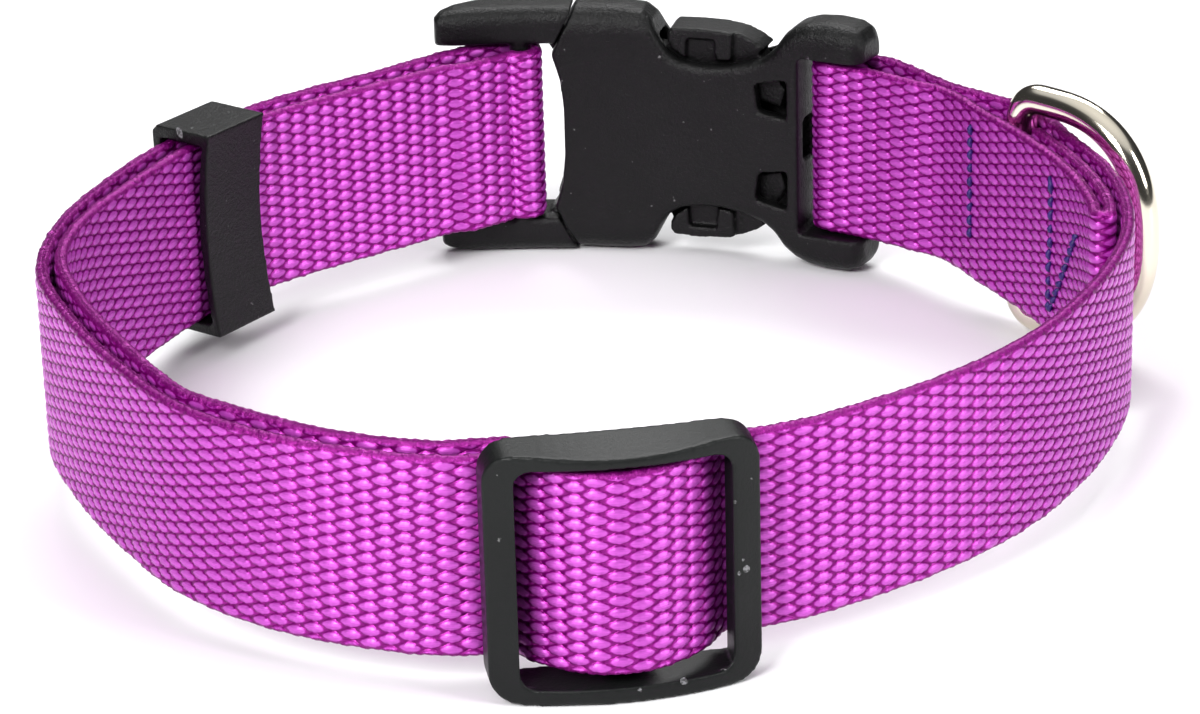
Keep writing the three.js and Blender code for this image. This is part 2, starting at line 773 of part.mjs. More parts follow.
function throughCut(outline, low = -CUT_REACH, high = CUT_REACH) {
  return prism(outline, low, high, throughDepth(buckleFrame));
}

function socketGeometry() {
  const rings = SOCKET_SECTIONS.map((row) =>
    sectionRing(row, level(-row.tall), level(row.tall), buckleFrame),
  );
  const beyond = 60;
  const mouth = [...mouthLine(SEAM_GAP), [-beyond, level(-1.2)], [-beyond, level(1.2)]];
  const cavity = band(
    buckleFrame,
    [-beyond / 2, SLOT_WALL - 2],
    [-CAVITY_HALF_THICK, CAVITY_HALF_THICK],
    [BUCKLE_MIDDLE - CAVITY_HALF_HEIGHT, BUCKLE_MIDDLE + CAVITY_HALF_HEIGHT],
  );
  const slot = roundedBox([SLOT_WALL, ARM_HEIGHT], [beyond, BUCKLE_HEIGHT - ARM_HEIGHT], SLOT_CORNER, 3);
  const guideHole = band(
    buckleFrame,
    [SLOT_WALL - 4, SLOT_WALL + 1],
    [-GUIDE_HALF_THICK, GUIDE_HALF_THICK],
    [BUCKLE_MIDDLE - 2.6, BUCKLE_MIDDLE + 3.4],
  );
  const cuts = [throughCut(mouth), cavity, throughCut(slot), guideHole];
  [-1, 1].forEach((side) => cuts.push(throughCut(faceRows(WINDOWS, side), 0)));
  return geometryOf(loft(rings).subtract(union(cuts)).add(barBody(SOCKET_BAR)));
}

function latchGeometry() {
  const halves = [];
  [-1, 1].forEach((side) => {
    const rings = LATCH_SECTIONS.map((row) => {
      const ends = [level(side * row.tall), side > 0 ? BUCKLE_HEIGHT - ARM_HEIGHT : ARM_HEIGHT];
      const faceRound = Math.min(row.round, ARM_ROUND);
      const strapRound = Math.min(row.round, ARM_EDGE_ROUND);
      const round = side > 0 ? [faceRound, strapRound] : [strapRound, faceRound];
      return sectionRing({ ...row, round }, Math.min(...ends), Math.max(...ends), buckleFrame);
    });
    halves.push(loft(rings));
  });
  const beyond = 60;
  const mouth = [...mouthLine(0), [beyond, level(-1.2)], [beyond, level(1.2)]];
  const arms = union(halves).subtract(throughCut(mouth));
  const flat = (rows) =>
    [-1, 1].map((side) =>
      throughCut(faceRows(rows, side)).intersect(
        band(
          buckleFrame,
          [-20, 24],
          [-PRONG_HALF_THICK, PRONG_HALF_THICK],
          [BUCKLE_MIDDLE - PRONG_HALF_HEIGHT, BUCKLE_MIDDLE + PRONG_HALF_HEIGHT],
        ),
      ),
    );
  const root = throughCut([
    [-15.1, level(0.78)],
    [-14.1, level(0.69)],
    [-12.7, level(0.58)],
    [-11.4, level(0.4)],
    [-11.2, level(0)],
    [-11.4, level(-0.4)],
    [-12.7, level(-0.58)],
    [-14.1, level(-0.69)],
    [-15.1, level(-0.78)],
    [-6.5, level(-0.78)],
    [-6.5, level(0.78)],
  ]).intersect(
    band(
      buckleFrame,
      [-18, -6],
      [-PRONG_HALF_THICK, PRONG_HALF_THICK],
      [BUCKLE_MIDDLE - PRONG_HALF_HEIGHT, BUCKLE_MIDDLE + PRONG_HALF_HEIGHT],
    ),
  );
  const prongs = flat([
    { along: -8, tall: 0.75 },
    { along: 3, tall: 0.68 },
    { along: 6, tall: 0.754 },
    { along: 16, tall: 0.754 },
    { along: 19.5, tall: 0.56 },
    { along: 21.4, tall: 0.4 },
    { along: 20.6, tall: 0.26 },
    { along: 17.4, tall: 0.3 },
    { along: 11, tall: 0.44 },
    { along: 3, tall: 0.47 },
    { along: -8, tall: 0.52 },
  ]);
  const tabs = [-1, 1].map((side) => {
    const outline = faceRows(TAB, side);
    const slab = band(buckleFrame, [2, 20], [-TAB_HALF_THICK, TAB_HALF_THICK], [-1, BUCKLE_HEIGHT + 1]);
    const dent = throughCut(
      [
        [6.3, level(side * 0.5)],
        [6.6, level(side * 0.772)],
        [10.9, level(side * 0.772)],
        [11.2, level(side * 0.5)],
      ],
      1.2,
    );
    const pad = throughCut(
      [
        [13.4, level(side * 0.5)],
        [13.6, level(side * 0.87)],
        [20, level(side * 0.87)],
        [20, level(side * 0.5)],
      ],
      1.9,
    );
    return throughCut(outline).intersect(slab).subtract(dent).subtract(pad);
  });
  return geometryOf(union([arms, root, ...prongs, ...tabs, barBody(LATCH_BAR)]));
}

// Lead ring: a D bent from round wire, its straight side upright between the plies
function ringGeometry() {
  const half = (RING_INNER + RING_WIRE) / 2;
  const line = [];
  const cornerSteps = 4;
  const bowSteps = 28;
  for (let k = 0; k <= cornerSteps; k += 1) {
    const angle = radians(180 + (90 * k) / cornerSteps);
    line.push([RING_CORNER * (1 + Math.cos(angle)), -half + RING_CORNER * (1 + Math.sin(angle))]);
  }
  for (let k = 0; k <= bowSteps; k += 1) {
    const angle = radians(-90 + (180 * k) / bowSteps);
    const out = Math.max(Math.cos(angle), 0) ** (2 / RING_SQUARENESS);
    const up = Math.abs(Math.sin(angle)) ** (2 / RING_SQUARENESS) * Math.sign(angle);
    line.push([RING_LEG + (RING_DEEP - RING_LEG) * out, half * up]);
  }
  for (let k = 0; k <= cornerSteps; k += 1) {
    const angle = radians(90 + (90 * k) / cornerSteps);
    line.push([RING_CORNER * (1 + Math.cos(angle)), half - RING_CORNER * (1 - Math.sin(angle))]);
  }
  const barSteps = 4;
  for (let k = 1; k < barSteps; k += 1) {
    line.push([0, (half - RING_CORNER) * (1 - (2 * k) / barSteps)]);
  }
  const foot = lineFrame(RING_TURN)(0, RING_DEPTH, 0);
  foot.z = edgeHeight(foot.y) + WEB_WIDTH / 2;
  const out = headingVector(RING_HEADING);
  const outward = new THREE.Vector3(out.x, out.y, 0);
  const flatNormal = new THREE.Vector3(-out.y, out.x, 0);
  const up = new THREE.Vector3(0, 0, 1);
  const sides = 12;
  const points = [];
  const faces = [];
  line.forEach(([reach, height], i) => {
    const before = line[(i + line.length - 1) % line.length];
    const after = line[(i + 1) % line.length];
    const along = new THREE.Vector2(after[0] - before[0], after[1] - before[1]).normalize();
    const edge = outward.clone().multiplyScalar(along.y).addScaledVector(up, -along.x);
    for (let k = 0; k < sides; k += 1) {
      const angle = radians((360 * k) / sides);
      points.push(
        foot
          .clone()
          .addScaledVector(outward, reach)
          .addScaledVector(up, height)
          .addScaledVector(edge, (RING_WIRE / 2) * Math.cos(angle))
          .addScaledVector(flatNormal, (RING_WIRE / 2) * Math.sin(angle)),
      );
      const a = i * sides + k;
      const b = i * sides + ((k + 1) % sides);
      const c = ((i + 1) % line.length) * sides + k;
      const d = ((i + 1) % line.length) * sides + ((k + 1) % sides);
      faces.push([a, b, c], [b, d, c]);
    }
  });
  return geometryOf(solid(points, faces));
}

// Colours
const MAGENTA = { color: 0xb42fb6, roughness: 0.55, metalness: 0 };
const BLACK = { color: 0x1b1d1e, roughness: 0.5, metalness: 0 };
const NICKEL = { color: 0xd8d2c4, roughness: 0.18, metalness: 1 };

const collar = new THREE.Group();
collar.name = 'dog_collar';

function add(name, geometry, look) {
  const mesh = new THREE.Mesh(geometry, new THREE.MeshStandardMaterial(look));
  mesh.name = name;
  collar.add(mesh);
}

add('strap', strapGeometry(), MAGENTA);
add('slider', sliderGeometry(), BLACK);
add('keeper', keeperGeometry(), BLACK);
add('buckle_latch', latchGeometry(), BLACK);
add('buckle_socket', socketGeometry(), BLACK);
add('lead_ring', ringGeometry(), NICKEL);

// Origin: the middle of the collar's footprint, on the surface it stands on
const bounds = new THREE.Box3().setFromObject(collar);
const middle = bounds.getCenter(new THREE.Vector3());
collar.children.forEach((mesh) => mesh.geometry.translate(-middle.x, -middle.y, -bounds.min.z));

export default collar;
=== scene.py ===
import math

import bpy
import numpy as np
from mathutils import Matrix, Vector
from mathutils.bvhtree import BVHTree


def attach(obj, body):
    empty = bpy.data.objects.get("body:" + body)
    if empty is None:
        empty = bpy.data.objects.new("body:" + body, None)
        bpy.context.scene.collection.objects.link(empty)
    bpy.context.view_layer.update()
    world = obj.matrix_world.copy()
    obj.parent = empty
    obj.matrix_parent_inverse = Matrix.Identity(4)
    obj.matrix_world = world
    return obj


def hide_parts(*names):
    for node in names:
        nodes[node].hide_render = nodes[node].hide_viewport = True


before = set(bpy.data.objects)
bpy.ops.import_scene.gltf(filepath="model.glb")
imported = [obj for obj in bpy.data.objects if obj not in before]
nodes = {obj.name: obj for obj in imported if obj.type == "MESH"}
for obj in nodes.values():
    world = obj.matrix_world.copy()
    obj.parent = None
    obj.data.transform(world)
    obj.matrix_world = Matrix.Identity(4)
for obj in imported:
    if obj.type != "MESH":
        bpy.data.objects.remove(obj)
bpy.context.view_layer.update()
MM = 0.001

# Camera: the photograph's own view, with the photograph's size in pixels
PHOTO_WIDE = 1200
PHOTO_HIGH = 714
LENS = 131.33
SENSOR = 36.0
CAMERA_AT = Vector((-1.918, -525.658, 232.28)) * MM
CAMERA_DOWN = math.radians(22.775)
CAMERA_ROLL = math.radians(-1.574)


def add_camera():
    right = Vector((1, 0, 0))
    ahead = Vector((0, math.cos(CAMERA_DOWN), -math.sin(CAMERA_DOWN)))
    up = Vector((0, math.sin(CAMERA_DOWN), math.cos(CAMERA_DOWN)))
    turned_right = right * math.cos(CAMERA_ROLL) + up * math.sin(CAMERA_ROLL)
    turned_up = up * math.cos(CAMERA_ROLL) - right * math.sin(CAMERA_ROLL)
    data = bpy.data.cameras.new("camera")
    data.lens = LENS
    data.sensor_width = SENSOR
    data.clip_start = 0.01
    camera = bpy.data.objects.new("camera", data)
    axes = Matrix((turned_right, turned_up, -ahead)).transposed()
    camera.matrix_world = Matrix.Translation(CAMERA_AT) @ axes.to_4x4()
    bpy.context.scene.collection.objects.link(camera)
    bpy.context.scene.camera = camera


add_camera()


# Materials
def material(name, build):
    m = bpy.data.materials.new(name)
    m.use_nodes = True
    tree = m.node_tree
    tree.nodes.clear()
    out = tree.nodes.new("ShaderNodeOutputMaterial")
    shader = tree.nodes.new("ShaderNodeBsdfPrincipled")
    tree.links.new(shader.outputs["BSDF"], out.inputs["Surface"])
    build(tree, shader)
    return m


def noise(tree, scale, detail, vector=None, rough=0.5):
    n = tree.nodes.new("ShaderNodeTexNoise")
    n.inputs["Scale"].default_value = scale
    n.inputs["Detail"].default_value = detail
    n.inputs["Roughness"].default_value = rough
    if vector is not None:
        tree.links.new(vector, n.inputs["Vector"])
    return n.outputs["Fac"]


def object_place(tree):
    return tree.nodes.new("ShaderNodeTexCoord").outputs["Object"]


def ramp(tree, fac, stops):
    r = tree.nodes.new("ShaderNodeValToRGB")
    band = r.color_ramp
    while len(band.elements) < len(stops):
        band.elements.new(0.5)
    for element, (at, colour) in zip(band.elements, stops):
        element.position = at
        element.color = (*colour, 1)
    tree.links.new(fac, r.inputs["Fac"])
    return r.outputs["Color"]


def bump(tree, shader, height, strength, distance):
    b = tree.nodes.new("ShaderNodeBump")
    b.inputs["Strength"].default_value = strength
    b.inputs["Distance"].default_value = distance
    tree.links.new(height, b.inputs["Height"])
    tree.links.new(b.outputs["Normal"], shader.inputs["Normal"])


def mix_colour(tree, fac, a, b, blend="MIX"):
    m = tree.nodes.new("ShaderNodeMix")
    m.data_type = "RGBA"
    m.blend_type = blend
    for socket, value in (("Factor", fac), ("A", a), ("B", b)):
        target = [s for s in m.inputs if s.name == socket and s.enabled][0]
        if isinstance(value, bpy.types.NodeSocket):
            tree.links.new(value, target)
        else:
            target.default_value = value
    return [s for s in m.outputs if s.enabled][0]


# Weave, in millimetres: columns and rows of floats, and the size and shape of one float
WEB_THICK = 1.5
WEB_WIDTH = 25.4
COLUMN = 2.4
ROW = 1.56
BUMP_LONG = 1.95
BUMP_WIDE = 0.82
ARCH_POWER = 3.0
LENS_POWER = 1.45
BARREL_POWER = 0.4
# Least half width of a float's tip, in mm for the mesh and in rows for the material
TIP = 0.02
TIP_IN_ROWS = 0.012
# The neck side's texture coordinates lie this much higher than the outer side's
BACK_OFFSET = 26 * ROW

# Webbing colour by relief: painted shade in the gaps between floats, the fibre's own magenta between, and a
# paler painted highlight on the float crowns
GAP_PAINTED_SHADE = (0.25, 0.0003, 0.20)
MID_MAGENTA = (0.40, 0.006, 0.35)
CROWN_PAINTED_HIGHLIGHT = (0.58, 0.085, 0.57)


def maths(tree, operation, *values):
    n = tree.nodes.new("ShaderNodeMath")
    n.operation = operation
    for socket, value in zip(n.inputs, values):
        if isinstance(value, bpy.types.NodeSocket):
            tree.links.new(value, socket)
        else:
            socket.default_value = value
    return n.outputs[0]


def lens_pattern(tree, s, w):
    """The floats of the weave: 1 on their crowns, 0 in the gaps."""
    result = None
    for parity in (0, 1):
        u = maths(tree, "MULTIPLY_ADD", s, 0.5 / COLUMN, -0.5 * parity)
        ds = maths(tree, "SUBTRACT", u, maths(tree, "ROUND", u))
        far = maths(tree, "MULTIPLY", maths(tree, "ABSOLUTE", ds), 2 * COLUMN / BUMP_LONG)
        reach = maths(tree, "MINIMUM", far, 1.0)
        q = maths(tree, "MULTIPLY_ADD", w, 1 / ROW, -0.5 * parity)
        dw = maths(tree, "SUBTRACT", q, maths(tree, "ROUND", q))
        narrow = maths(tree, "POWER", reach, LENS_POWER)
        wide = maths(tree, "MULTIPLY_ADD", narrow, -BUMP_WIDE / ROW, BUMP_WIDE / ROW + TIP_IN_ROWS)
        ratio = maths(tree, "DIVIDE", dw, wide)
        minus = maths(tree, "MULTIPLY", ratio, -1.0)
        squared = maths(tree, "MULTIPLY_ADD", ratio, minus, 1.0)
        round_part = maths(tree, "MAXIMUM", squared, 0.0)
        barrel = maths(tree, "POWER", round_part, BARREL_POWER)
        arch = maths(tree, "SUBTRACT", 1.0, maths(tree, "POWER", reach, ARCH_POWER))
        value = maths(tree, "MULTIPLY", arch, barrel)
        result = value if result is None else maths(tree, "MAXIMUM", result, value)
    return result


def web_look(tree, shader):
    uv = tree.nodes.new("ShaderNodeUVMap")
    split = tree.nodes.new("ShaderNodeSeparateXYZ")
    tree.links.new(uv.outputs["UV"], split.inputs["Vector"])
    floats = lens_pattern(tree, split.outputs["X"], split.outputs["Y"])
    stretch = tree.nodes.new("ShaderNodeMapping")
    stretch.inputs["Scale"].default_value = (0.5, 7.5, 1)
    tree.links.new(uv.outputs["UV"], stretch.inputs["Vector"])
    threads = noise(tree, 1.0, 4, stretch.outputs["Vector"], 0.6)
    loops = noise(tree, 2.2, 3, uv.outputs["UV"], 0.75)
    edge = tree.nodes.new("ShaderNodeAttribute")
    edge.attribute_name = "edge"
    on_edge = edge.outputs["Fac"]
    fuzz = maths(tree, "MULTIPLY_ADD", loops, 1.25, -0.10)
    difference = maths(tree, "SUBTRACT", fuzz, floats)
    relief = maths(tree, "MULTIPLY_ADD", on_edge, difference, floats)
    # The ramp paints shade into the gaps and a highlight onto the crowns; on the selvage the loop noise
    # drives it, mottling the loops with the same painted shade
    base = ramp(
        tree,
        relief,
        [(0.0, GAP_PAINTED_SHADE), (0.66, GAP_PAINTED_SHADE), (0.73, MID_MAGENTA), (0.81, CROWN_PAINTED_HIGHLIGHT)],
    )
    shade = ramp(tree, threads, [(0.3, (0.78, 0.70, 0.78)), (0.7, (1.12, 1.15, 1.12))])
    colour = mix_colour(tree, 1.0, base, shade, "MULTIPLY")
    tree.links.new(colour, shader.inputs["Base Color"])
    # Metallic is higher in the gaps, so their gloss takes the deep magenta instead of white: more painted
    # shade in the gaps
    gap_shade_gloss = ramp(tree, relief, [(0.66, (0.62, 0.62, 0.62)), (0.76, (0.48, 0.48, 0.48))])
    tree.links.new(gap_shade_gloss, shader.inputs["Metallic"])
    shader.inputs["Roughness"].default_value = 0.34
    shader.inputs["Specular IOR Level"].default_value = 0.6
    shader.inputs["Anisotropic"].default_value = 0.8
    shader.inputs["Anisotropic Rotation"].default_value = 0.25
    along = tree.nodes.new("ShaderNodeTangent")
    along.direction_type = "UV_MAP"
    along.uv_map = "UVMap"
    tree.links.new(along.outputs["Tangent"], shader.inputs["Tangent"])
    grain = maths(tree, "MULTIPLY_ADD", threads, 0.22, relief)
    bump(tree, shader, grain, 0.8, 0.22 * MM)


def plastic_look(dark, rough, grain, shine, speck):
    """Moulded plastic: base colour, roughness, depth of its grain, gloss, and how rare pale specks are."""
    def build(tree, shader):
        place = object_place(tree)
        cloud = noise(tree, 90, 3, place)
        fine = noise(tree, 2100, 3, place, 0.75)
        darker = tuple(0.85 * c for c in dark)
        lighter = tuple(1.2 * c for c in dark)
        colour = ramp(tree, cloud, [(0.3, darker), (0.7, lighter)])
        specks = noise(tree, 900, 2, place)
        dust = ramp(tree, specks, [(speck, (0, 0, 0)), (speck + 0.03, (0.12, 0.12, 0.12))])
        tree.links.new(mix_colour(tree, 1.0, colour, dust, "ADD"), shader.inputs["Base Color"])
        shader.inputs["Roughness"].default_value = rough
        shader.inputs["Specular IOR Level"].default_value = shine
        bump(tree, shader, fine, grain, 0.3 * MM)

    return build


def nickel_look(tree, shader):
    place = object_place(tree)
    cloud = noise(tree, 60, 3, place)
    colour = ramp(tree, cloud, [(0.3, (0.74, 0.68, 0.56)), (0.7, (0.82, 0.765, 0.65))])
    tree.links.new(colour, shader.inputs["Base Color"])
    shader.inputs["Metallic"].default_value = 1.0
    shader.inputs["Roughness"].default_value = 0.13
    fine = noise(tree, 700, 2, place)
    bump(tree, shader, fine, 0.08, 0.02 * MM)


def thread_look(tree, shader):
    place = object_place(tree)
    twist = noise(tree, 4000, 2, place)
    colour = ramp(tree, twist, [(0.3, (0.008, 0.001, 0.06)), (0.7, (0.03, 0.006, 0.17))])
    tree.links.new(colour, shader.inputs["Base Color"])
    shader.inputs["Roughness"].default_value = 0.5
    bump(tree, shader, twist, 0.5, 0.05 * MM)


def mark_look(tree, shader):
    place = object_place(tree)
    cloud = noise(tree, 3000, 2, place)
    colour = ramp(tree, cloud, [(0.4, (0.03, 0.03, 0.03)), (0.6, (0.20, 0.20, 0.21))])
    tree.links.new(colour, shader.inputs["Base Color"])
    shader.inputs["Roughness"].default_value = 0.6


def floor_look(tree, shader):
    place = object_place(tree)
    cloud = noise(tree, 3, 2, place)
    colour = ramp(tree, cloud, [(0.3, (0.86, 0.86, 0.87)), (0.7, (0.88, 0.88, 0.89))])
    tree.links.new(colour, shader.inputs["Base Color"])
    shader.inputs["Roughness"].default_value = 0.6
    shader.inputs["Specular IOR Level"].default_value = 0.2


WEB = material("webbing", web_look)
BLACK = material("black_plastic", plastic_look((0.0032, 0.0033, 0.0034), 0.34, 0.6, 0.22, 0.735))
SATIN = material("satin_plastic", plastic_look((0.0055, 0.0065, 0.0062), 0.42, 0.20, 0.22, 0.76))
NICKEL = material("nickel", nickel_look)
THREAD = material("navy_thread", thread_look)
FLOOR = material("floor", floor_look)


def new_piece(name, vertices, faces, look, body="collar", replaced=None):
    mesh = bpy.data.meshes.new(name)
    mesh.from_pydata(vertices, [], faces)
    mesh.materials.append(look)
    mesh.polygons.foreach_set("use_smooth", [True] * len(mesh.polygons))
    mesh.update()
    piece = bpy.data.objects.new(name, mesh)
    bpy.context.scene.collection.objects.link(piece)
    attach(piece, body)
    if replaced:
        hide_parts(replaced)
    return piece


# The webbing's route, read from the CAD strip: its lower outline, walked round and paired up
def strip_outline(obj):
    mesh = obj.data
    world = np.array(obj.matrix_world)
    raw = np.array([v.co[:] for v in mesh.vertices]) @ world[:3, :3].T + world[:3, 3]
    keys, index = {}, []
    for p in np.round(raw * 1e6).astype(int).tolist():
        index.append(keys.setdefault(tuple(p), len(keys)))
    points = np.array(list(keys)) * 1e-6
    edges = {}
    for polygon in mesh.polygons:
        corners = [index[v] for v in polygon.vertices]
        a, b, c = points[corners[0]], points[corners[1]], points[corners[2]]
        normal = np.cross(b - a, c - a)
        size = np.linalg.norm(normal)
        looks_down = size > 0 and normal[2] / size <= -0.9
        if not looks_down:
            continue
        for k, first in enumerate(corners):
            second = corners[(k + 1) % len(corners)]
            if (second, first) in edges:
                del edges[(second, first)]
            else:
                edges[(first, second)] = True
    after = {a: b for a, b in edges}
    start = next(iter(after))
    walk = [start]
    while after[walk[-1]] != start:
        walk.append(after[walk[-1]])
    return points[walk]


END_PAIRS = 12


def middle_line(outline):
    """Finds the strip's end, where points face each other one thickness apart, and pairs them up."""
    count = len(outline)
    best = None
    for k in range(count):
        gaps = [np.linalg.norm(outline[k - i] - outline[(k + 1 + i) % count]) for i in range(END_PAIRS)]
        error = sum(abs(g - WEB_THICK * MM) for g in gaps)
        if best is None or error < best[0]:
            best = (error, k)
    k = best[1]
    half = count // 2
    pairs = [(outline[(k - i) % count], outline[(k + 1 + i) % count]) for i in range(half)]
    return np.array([(a + b) / 2 for a, b in pairs])


def smooth_line(points, step):
    """Centripetal Catmull-Rom through the points, then equal steps along it."""
    p = np.vstack([2 * points[0] - points[1], points, 2 * points[-1] - points[-2]])
    knots = np.concatenate([[0], np.cumsum(np.sqrt(np.linalg.norm(np.diff(p, axis=0), axis=1)) + 1e-9)])
    fine = []
    for i in range(1, len(p) - 2):
        t0, t1, t2, t3 = knots[i - 1 : i + 3]
        t = np.linspace(t1, t2, 12, endpoint=False)[:, None]
        a1 = (t1 - t) / (t1 - t0) * p[i - 1] + (t - t0) / (t1 - t0) * p[i]
        a2 = (t2 - t) / (t2 - t1) * p[i] + (t - t1) / (t2 - t1) * p[i + 1]
        a3 = (t3 - t) / (t3 - t2) * p[i + 1] + (t - t2) / (t3 - t2) * p[i + 2]
        b1 = (t2 - t) / (t2 - t0) * a1 + (t - t0) / (t2 - t0) * a2
        b2 = (t3 - t) / (t3 - t1) * a2 + (t - t1) / (t3 - t1) * a3
        fine.append((t2 - t) / (t2 - t1) * b1 + (t - t1) / (t2 - t1) * b2)
    fine = np.vstack(fine + [p[-2:-1]])
    length = np.concatenate([[0], np.cumsum(np.linalg.norm(np.diff(fine, axis=0), axis=1))])
    at = np.append(np.arange(0, length[-1] - step / 2, step), length[-1])
    return at, np.stack([np.interp(at, length, fine[:, k]) for k in range(3)], axis=1)


LINE_STEP = 0.4 * MM
along, line = smooth_line(middle_line(strip_outline(nodes["strap"])), LINE_STEP)
# The order runs from the stitched end, on the ring's side, to the loose end by the slider
if line[0][0] < line[-1][0]:
    line = line[::-1].copy()
along_mm = along / MM
tangent = np.gradient(line[:, :2], axis=0)
tangent /= np.linalg.norm(tangent, axis=1)[:, None]
left = np.stack([-tangent[:, 1], tangent[:, 0]], axis=1)

# Heights over the strip's middle, the selvage's braid, and the flat part of the section
FACE_LOW = 0.50
FACE_RISE = 0.44
EDGE_BAND = 0.8
EDGE_PITCH = 1.3
EDGE_LIFT = 0.22
EDGE_RELIEF = 0.14
EDGE_LOOP = 0.3
EDGE_INSET = 0.12
BRAID_LEAST = 0.45
FLAT_STEPS = 31
FLAT_HALF = FLAT_STEPS * ROW / 4
ROUND_STEPS = 6
EDGE_RUN = WEB_WIDTH / 2 - FLAT_HALF
# Which random heights the two faces and the selvage take
FRONT_SEED = 1
BACK_SEED = 7
BRAID_SEED = 11
FLOAT_LEAST = 0.88
WEB_PARTS = 4


def hashed(i, j, seed):
    value = np.sin(i * 12.9898 + j * 78.233 + seed * 37.719) * 43758.5453
    return value - np.floor(value)


def weave(s, w, seed):
    """Relief from 0 in the gaps to 1 on the floats."""
    best = np.zeros(np.broadcast(s, w).shape)
    for parity in (0, 1):
        i = np.round((s / COLUMN - parity) / 2) * 2 + parity
        shift = ROW * 0.5 * parity
        j = np.round((w - shift) / ROW)
        ds = s - i * COLUMN
        dw = w - shift - j * ROW
        tall = FLOAT_LEAST + (1 - FLOAT_LEAST) * hashed(i, j, seed)
        reach = np.clip(np.abs(ds) / BUMP_LONG, 0, 1)
        wide = BUMP_WIDE * (1 - reach ** LENS_POWER) + TIP
        arch = 1 - reach ** ARCH_POWER
        barrel = np.clip(1 - (dw / wide) ** 2, 0, 1) ** BARREL_POWER
        best = np.maximum(best, arch * barrel * tall)
    return best


def section():
    """Points round the strip's section: how far across, how far to one face, and 1 on the rounded edge."""
    rows = 2 * FLAT_STEPS + 1
    flat = FLAT_HALF
    points = []
    for k in range(rows):
        points.append((-flat + 2 * flat * k / (rows - 1), 1.0, 0.0))
    for k in range(1, ROUND_STEPS):
        angle = math.pi * k / ROUND_STEPS
        points.append((flat + EDGE_RUN * math.sin(angle), math.cos(angle), 1.0))
    for k in range(rows):
        points.append((flat - 2 * flat * k / (rows - 1), -1.0, 0.0))
    for k in range(1, ROUND_STEPS):
        angle = math.pi * k / ROUND_STEPS
        points.append((-flat - EDGE_RUN * math.sin(angle), -math.cos(angle), 1.0))
    return np.array(points)


def web_grid(ring):
    """The strip's surface as stations along it by points round its section, and how much each is selvage."""
    across, side, edge = ring[:, 0][None], ring[:, 1][None], ring[:, 2][None]
    s = along_mm[:, None]
    front = weave(s, across, FRONT_SEED)
    back = weave(s + COLUMN * 0.5, across, BACK_SEED)
    face = np.where(side >= 0, front, back)
    near_edge = np.clip((np.abs(across) - (WEB_WIDTH / 2 - EDGE_BAND)) / EDGE_BAND, 0, 1)
    step = s / EDGE_PITCH + 0.5 * side * np.sign(across)
    cell = np.floor(step)
    loop = np.abs(np.sin(np.pi * step)) ** 0.6
    braid = loop * (BRAID_LEAST + (1 - BRAID_LEAST) * hashed(cell, np.sign(across), BRAID_SEED))
    relief = face * (1 - edge) + braid * edge
    blended = face * (1 - near_edge) + braid * near_edge
    relief = np.where((edge < 0.5) & (near_edge > 0), blended, relief)
    out = (FACE_LOW + FACE_RISE * relief) * side
    out = np.where(edge > 0.5, side * (FACE_LOW + EDGE_LIFT + EDGE_RELIEF * braid), out)
    wide = across + np.sign(across) * edge * (EDGE_LOOP * braid - EDGE_INSET)
    edging = np.clip(np.maximum(edge, near_edge) + 0 * s, 0, 1)
    grid = np.zeros((len(s), ring.shape[0], 3))
    grid[:, :, 0] = line[:, 0][:, None] + left[:, 0][:, None] * out * MM
    grid[:, :, 1] = line[:, 1][:, None] + left[:, 1][:, None] * out * MM
    grid[:, :, 2] = line[:, 2][:, None] + (wide + WEB_WIDTH / 2) * MM
    return grid, edging


def grid_normals(grid):
    by_s = np.gradient(grid, axis=0)
    by_r = np.roll(grid, -1, axis=1) - np.roll(grid, 1, axis=1)
    n = np.cross(by_r, by_s)
    n /= np.linalg.norm(n, axis=2)[:, :, None] + 1e-12
    return n


def quads(rows, columns):
    """Faces between rows of points, each row closed round."""
    a = np.arange(rows - 1)[:, None] * columns + np.arange(columns)[None]
    b = np.arange(rows - 1)[:, None] * columns + (np.arange(columns)[None] + 1) % columns
    return np.stack([a, a + columns, b + columns, b], axis=-1).reshape(-1, 4)


def build_web():
    ring = section()
    behind = ring[:, 1] < 0
    grid, edging = web_grid(ring)
    normals = grid_normals(grid)
    centre = grid.mean(axis=1, keepdims=True)
    if ((grid - centre) * normals).sum() < 0:
        normals = -normals
    total = len(grid)
    cuts = [round(total * k / WEB_PARTS) for k in range(WEB_PARTS + 1)]
    columns = grid.shape[1]
    for k in range(WEB_PARTS):
        low, high = cuts[k], min(cuts[k + 1] + 1, total)
        block = grid[low:high]
        faces = quads(high - low, columns)
        points = block.reshape(-1, 3)
        outward = normals[low:high].reshape(-1, 3)
        p, q, r = (points[faces[:, n]] for n in (0, 1, 3))
        facing = np.cross(q - p, r - p)
        if (facing * outward[faces[:, 0]]).sum() < 0:
            faces = faces[:, ::-1]
        faces = faces.tolist()
        if k == 0:
            faces.append(list(range(columns)))
        if k == WEB_PARTS - 1:
            last = (high - low - 1) * columns
            faces.append([last + c for c in reversed(range(columns))])
        name = "webbing_" + str(k + 1)
        piece = new_piece(name, points.tolist(), faces, WEB, replaced="strap")
        mesh = piece.data
        edge = mesh.attributes.new("edge", "FLOAT", "POINT")
        edge.data.foreach_set("value", edging[low:high].astype(np.float32).ravel())
        layer = mesh.uv_layers.new(name="UVMap")
        loops = np.zeros(len(mesh.loops), dtype=np.int32)
        mesh.loops.foreach_get("vertex_index", loops)
        s = (along_mm[low:high, None] + COLUMN * 0.5 * behind).ravel()
        w = np.tile(ring[:, 0] + BACK_OFFSET * behind, high - low)
        uv = np.stack([s[loops], w[loops]], axis=1).astype(np.float32)
        layer.data.foreach_set("uv", uv.ravel())
        mesh.normals_split_custom_set_from_vertices(outward.tolist())


build_web()


